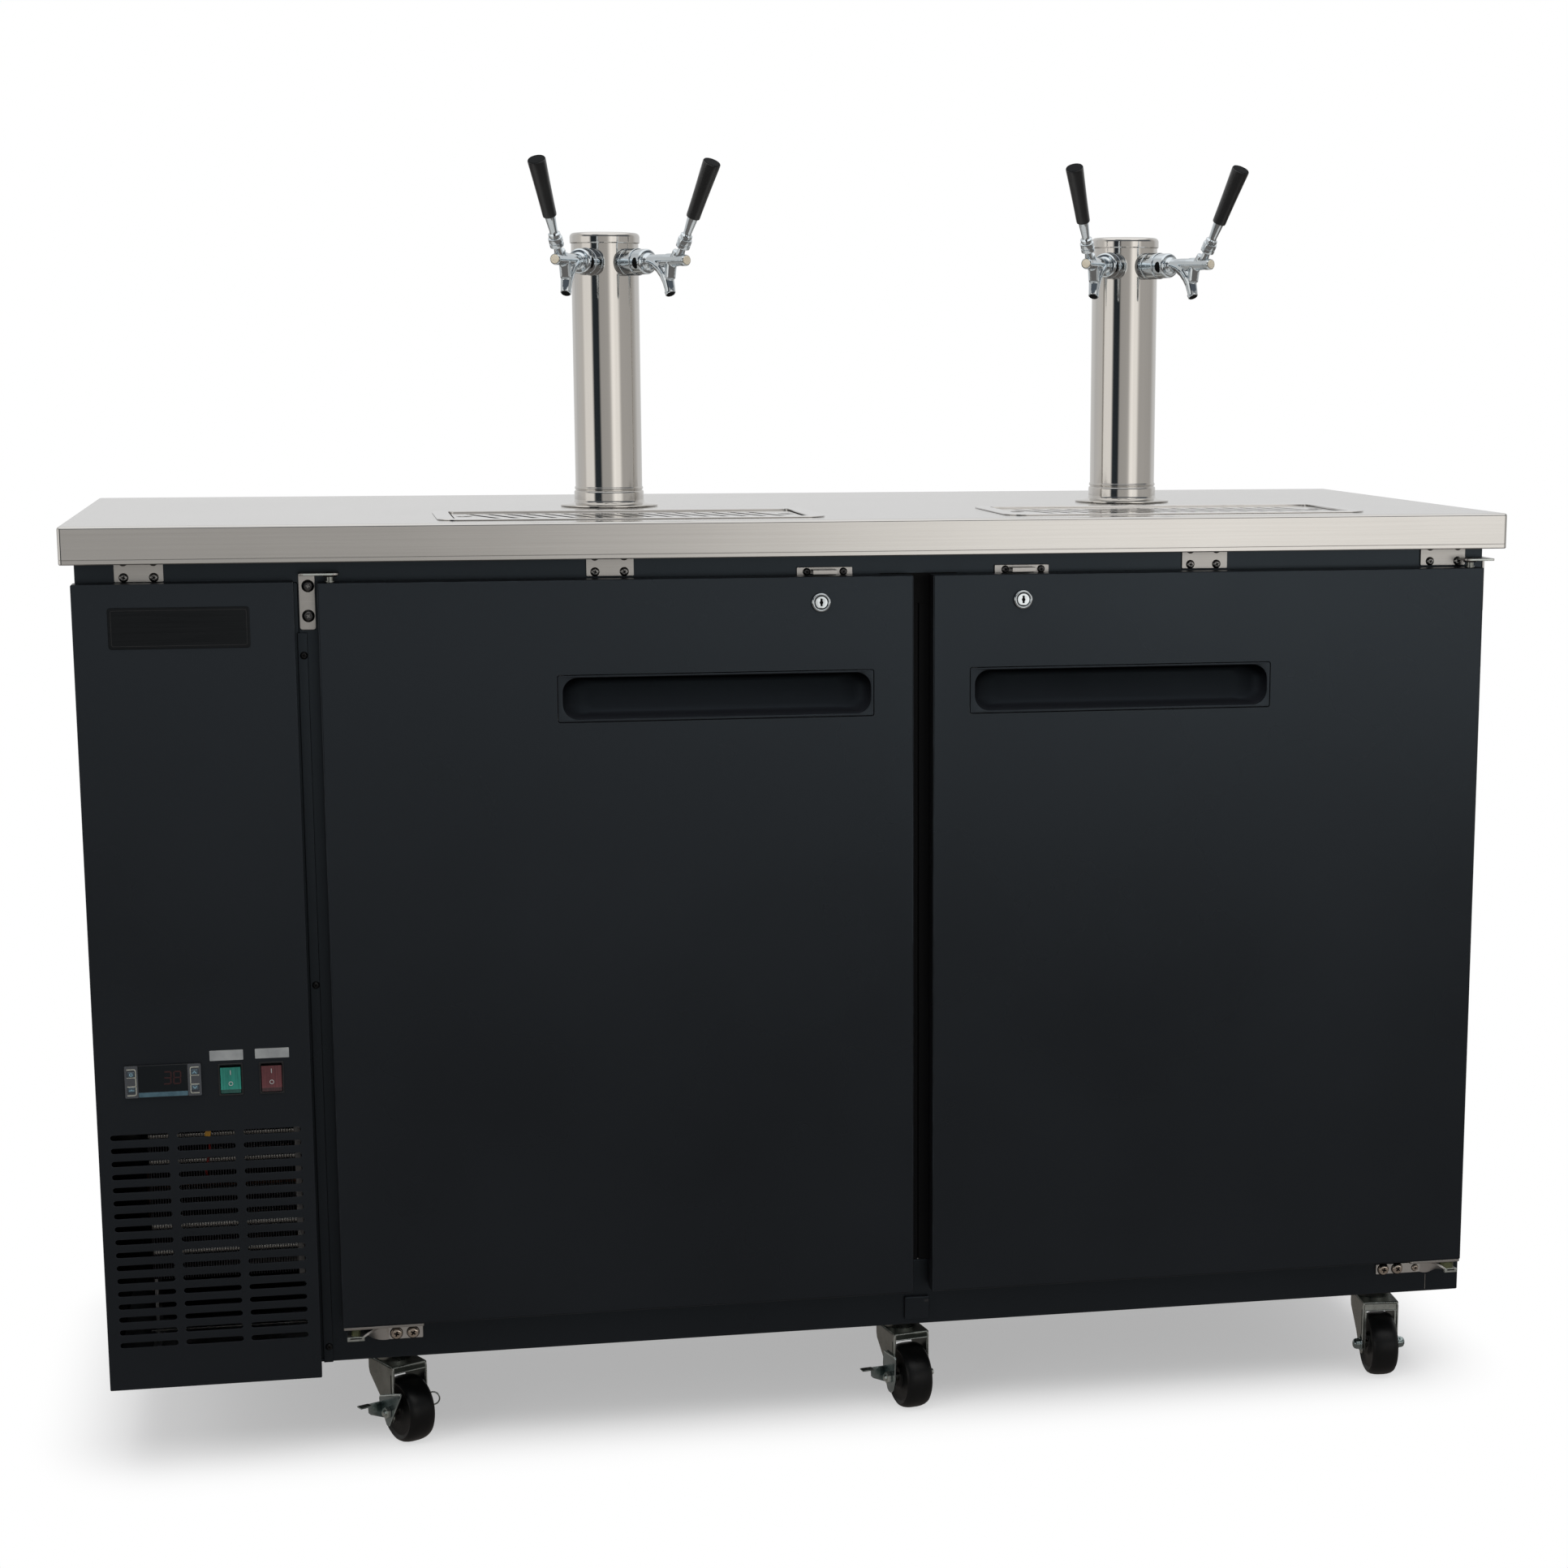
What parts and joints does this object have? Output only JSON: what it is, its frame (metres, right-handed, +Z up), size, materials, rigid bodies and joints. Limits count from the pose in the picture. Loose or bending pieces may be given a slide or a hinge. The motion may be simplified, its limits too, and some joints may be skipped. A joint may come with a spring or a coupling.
{
  "type": "kegerator",
  "caption": "Low black draught beer cabinet on casters, with a stainless worktop, hinged doors, drip trays and draught towers with pull taps.",
  "frame": {"origin": "on the floor under the middle of the worktop", "axes": "+X to the right as seen from the doors, +Y towards the back, +Z up"},
  "size_m": [1.545, 0.62, 1.4066],
  "materials": {
    "black_paint": "satin black powder coat",
    "brushed_stainless": "brushed stainless sheet",
    "polished_stainless": "polished stainless tube",
    "chrome": "bright chrome plate",
    "zinc_plate": "zinc-plated pressed steel",
    "tread_black": "satin black tread",
    "handle_black": "satin black moulded handle",
    "soft_black": "matt flexible seal",
    "liner_aluminium": "satin sheet",
    "control_black": "moulded black bezel",
    "key_grey": "matt grey keypad",
    "rocker_green": "translucent green rocker",
    "rocker_red": "translucent red rocker",
    "coil_aluminium": "finned coil",
    "machine_black": "black enamel"
  },
  "bodies": {
    "cabinet": {"cabinet_case": "black_paint", "cabinet_liner": "liner_aluminium", "door_mullion": "black_paint", "bottom_panel": "zinc_plate", "worktop": "brushed_stainless", "compressor_cover": "black_paint", "controller": "control_black", "condenser": "coil_aluminium", "compressor": "machine_black", "evaporator_housing": "liner_aluminium", "left_drip_tray": "brushed_stainless", "right_drip_tray": "brushed_stainless", "left_tower": "polished_stainless", "right_tower": "polished_stainless", "left_tower_left_faucet": "chrome", "left_tower_right_faucet": "chrome", "right_tower_left_faucet": "chrome", "right_tower_right_faucet": "chrome", "left_top_hinge": "black_paint", "right_top_hinge": "black_paint", "left_bottom_hinge": "black_paint", "right_bottom_hinge": "black_paint"},
    "left_door_leaf": {"left_door": "black_paint", "left_door_gasket": "soft_black"},
    "right_door_leaf": {"right_door": "black_paint", "right_door_gasket": "soft_black"},
    "left_lock": {"left_door_lock": "chrome"},
    "right_lock": {"right_door_lock": "chrome"},
    "left_tower_left_tap": {"left_tower_left_lever": "chrome", "left_tower_left_handle": "handle_black"},
    "left_tower_right_tap": {"left_tower_right_lever": "chrome", "left_tower_right_handle": "handle_black"},
    "right_tower_left_tap": {"right_tower_left_lever": "chrome", "right_tower_left_handle": "handle_black"},
    "right_tower_right_tap": {"right_tower_right_lever": "chrome", "right_tower_right_handle": "handle_black"},
    "green_rocker_switch": {"green_rocker": "rocker_green"},
    "red_rocker_switch": {"red_rocker": "rocker_red"},
    "key_left_upper_button": {"key_left_upper": "key_grey"},
    "key_left_lower_button": {"key_left_lower": "key_grey"},
    "key_right_upper_button": {"key_right_upper": "key_grey"},
    "key_right_lower_button": {"key_right_lower": "key_grey"},
    "condenser_fan_wheel": {"condenser_fan": "machine_black"},
    "evaporator_fan_wheel": {"evaporator_fan": "machine_black"},
    "left_grille": {"left_drip_grille": "brushed_stainless"},
    "right_grille": {"right_drip_grille": "brushed_stainless"},
    "front_left_swivel": {"front_left_caster_fork": "zinc_plate"},
    "front_left_wheel": {"front_left_caster_wheel": "tread_black"},
    "front_left_brake": {"front_left_brake_pedal": "zinc_plate"},
    "front_middle_swivel": {"front_middle_caster_fork": "zinc_plate"},
    "front_middle_wheel": {"front_middle_caster_wheel": "tread_black"},
    "front_middle_brake": {"front_middle_brake_pedal": "zinc_plate"},
    "front_right_swivel": {"front_right_caster_fork": "zinc_plate"},
    "front_right_wheel": {"front_right_caster_wheel": "tread_black"},
    "rear_left_swivel": {"rear_left_caster_fork": "zinc_plate"},
    "rear_left_wheel": {"rear_left_caster_wheel": "tread_black"},
    "rear_middle_swivel": {"rear_middle_caster_fork": "zinc_plate"},
    "rear_middle_wheel": {"rear_middle_caster_wheel": "tread_black"},
    "rear_right_swivel": {"rear_right_caster_fork": "zinc_plate"},
    "rear_right_wheel": {"rear_right_caster_wheel": "tread_black"}
  },
  "joints": [
    {"name": "left_door_hinge", "type": "hinge", "parent": "cabinet", "child": "left_door_leaf", "pos_m": [-0.5054, -0.2874, 0.167], "axis": [0, 0, 1], "range_deg": [-110, 0]},
    {"name": "right_door_hinge", "type": "hinge", "parent": "cabinet", "child": "right_door_leaf", "pos_m": [0.7384, -0.2874, 0.167], "axis": [0, 0, 1], "range_deg": [0, 110]},
    {"name": "left_lock_turn", "type": "hinge", "parent": "left_door_leaf", "child": "left_lock", "pos_m": [0.005, -0.2964, 0.9382], "axis": [0, 1, 0], "range_deg": [0, 90]},
    {"name": "right_lock_turn", "type": "hinge", "parent": "right_door_leaf", "child": "right_lock", "pos_m": [0.2254, -0.2964, 0.9382], "axis": [0, 1, 0], "range_deg": [-90, 0]},
    {"name": "left_tower_left_tap_pull", "type": "hinge", "parent": "cabinet", "child": "left_tower_left_tap", "pos_m": [-0.24833, -0.09695, 1.3037], "axis": [0.8934, -0.4493, 0], "range_deg": [0, 25]},
    {"name": "left_tower_right_tap_pull", "type": "hinge", "parent": "cabinet", "child": "left_tower_right_tap", "pos_m": [-0.11609, -0.09163, 1.3037], "axis": [0.8545, 0.5195, 0], "range_deg": [0, 25]},
    {"name": "right_tower_left_tap_pull", "type": "hinge", "parent": "cabinet", "child": "right_tower_left_tap", "pos_m": [0.34876, -0.09051, 1.3037], "axis": [0.8462, -0.5329, 0], "range_deg": [0, 25]},
    {"name": "right_tower_right_tap_pull", "type": "hinge", "parent": "cabinet", "child": "right_tower_right_tap", "pos_m": [0.48091, -0.09789, 1.3037], "axis": [0.9003, 0.4352, 0], "range_deg": [0, 25]},
    {"name": "green_rocker_press", "type": "hinge", "parent": "cabinet", "child": "green_rocker_switch", "pos_m": [-0.6253, -0.2954, 0.4473], "axis": [1, 0, 0], "range_deg": [-12, 0]},
    {"name": "red_rocker_press", "type": "hinge", "parent": "cabinet", "child": "red_rocker_switch", "pos_m": [-0.5833, -0.2954, 0.4473], "axis": [1, 0, 0], "range_deg": [-12, 0]},
    {"name": "key_left_upper_press", "type": "slide", "parent": "cabinet", "child": "key_left_upper_button", "axis": [0, 1, 0], "range_m": [0, 0.0006], "stiffness_N_per_m": 400, "springref_m": -0.0005},
    {"name": "key_left_lower_press", "type": "slide", "parent": "cabinet", "child": "key_left_lower_button", "axis": [0, 1, 0], "range_m": [0, 0.0006], "stiffness_N_per_m": 400, "springref_m": -0.0005},
    {"name": "key_right_upper_press", "type": "slide", "parent": "cabinet", "child": "key_right_upper_button", "axis": [0, 1, 0], "range_m": [0, 0.0006], "stiffness_N_per_m": 400, "springref_m": -0.0005},
    {"name": "key_right_lower_press", "type": "slide", "parent": "cabinet", "child": "key_right_lower_button", "axis": [0, 1, 0], "range_m": [0, 0.0006], "stiffness_N_per_m": 400, "springref_m": -0.0005},
    {"name": "condenser_fan_spin", "type": "hinge", "parent": "cabinet", "child": "condenser_fan_wheel", "pos_m": [-0.635, -0.1593, 0.3122], "axis": [0, 1, 0], "continuous": true},
    {"name": "evaporator_fan_spin", "type": "hinge", "parent": "cabinet", "child": "evaporator_fan_wheel", "pos_m": [0.1165, 0.1562, 0.829], "axis": [0, 1, 0], "continuous": true},
    {"name": "left_grille_lift", "type": "slide", "parent": "cabinet", "child": "left_grille", "axis": [0, 0, 1], "range_m": [0, 0.06]},
    {"name": "right_grille_lift", "type": "slide", "parent": "cabinet", "child": "right_grille", "axis": [0, 0, 1], "range_m": [0, 0.06]},
    {"name": "front_left_caster_swivel", "type": "hinge", "parent": "cabinet", "child": "front_left_swivel", "pos_m": [-0.464, -0.17, 0.11], "axis": [0, 0, 1], "continuous": true},
    {"name": "front_left_wheel_roll", "type": "hinge", "parent": "front_left_swivel", "child": "front_left_wheel", "pos_m": [-0.45038, -0.19673, 0.0375], "axis": [0.891, 0.454, 0], "continuous": true},
    {"name": "front_left_brake_lift", "type": "hinge", "parent": "front_left_swivel", "child": "front_left_brake", "pos_m": [-0.45038, -0.19673, 0.0375], "axis": [0.891, 0.454, 0], "range_deg": [0, 20]},
    {"name": "front_middle_caster_swivel", "type": "hinge", "parent": "cabinet", "child": "front_middle_swivel", "pos_m": [0.1147, -0.17, 0.11], "axis": [0, 0, 1], "continuous": true},
    {"name": "front_middle_wheel_roll", "type": "hinge", "parent": "front_middle_swivel", "child": "front_middle_wheel", "pos_m": [0.12042, -0.19945, 0.0375], "axis": [0.9816, 0.1908, 0], "continuous": true},
    {"name": "front_middle_brake_lift", "type": "hinge", "parent": "front_middle_swivel", "child": "front_middle_brake", "pos_m": [0.12042, -0.19945, 0.0375], "axis": [0.9816, 0.1908, 0], "range_deg": [0, 20]},
    {"name": "front_right_caster_swivel", "type": "hinge", "parent": "cabinet", "child": "front_right_swivel", "pos_m": [0.6934, -0.17, 0.11], "axis": [0, 0, 1], "continuous": true},
    {"name": "front_right_wheel_roll", "type": "hinge", "parent": "front_right_swivel", "child": "front_right_wheel", "pos_m": [0.69105, -0.19991, 0.0375], "axis": [0.9969, -0.0785, 0], "continuous": true},
    {"name": "rear_left_caster_swivel", "type": "hinge", "parent": "cabinet", "child": "rear_left_swivel", "pos_m": [-0.464, 0.2, 0.11], "axis": [0, 0, 1], "continuous": true},
    {"name": "rear_left_wheel_roll", "type": "hinge", "parent": "rear_left_swivel", "child": "rear_left_wheel", "pos_m": [-0.45674, 0.17089, 0.0375], "axis": [0.9703, 0.2419, 0], "continuous": true},
    {"name": "rear_middle_caster_swivel", "type": "hinge", "parent": "cabinet", "child": "rear_middle_swivel", "pos_m": [0.1147, 0.2, 0.11], "axis": [0, 0, 1], "continuous": true},
    {"name": "rear_middle_wheel_roll", "type": "hinge", "parent": "rear_middle_swivel", "child": "rear_middle_wheel", "pos_m": [0.11052, 0.17029, 0.0375], "axis": [0.9903, -0.1392, 0], "continuous": true},
    {"name": "rear_right_caster_swivel", "type": "hinge", "parent": "cabinet", "child": "rear_right_swivel", "pos_m": [0.6934, 0.2, 0.11], "axis": [0, 0, 1], "continuous": true},
    {"name": "rear_right_wheel_roll", "type": "hinge", "parent": "rear_right_swivel", "child": "rear_right_wheel", "pos_m": [0.70366, 0.17181, 0.0375], "axis": [0.9397, 0.342, 0], "continuous": true}
  ]
}
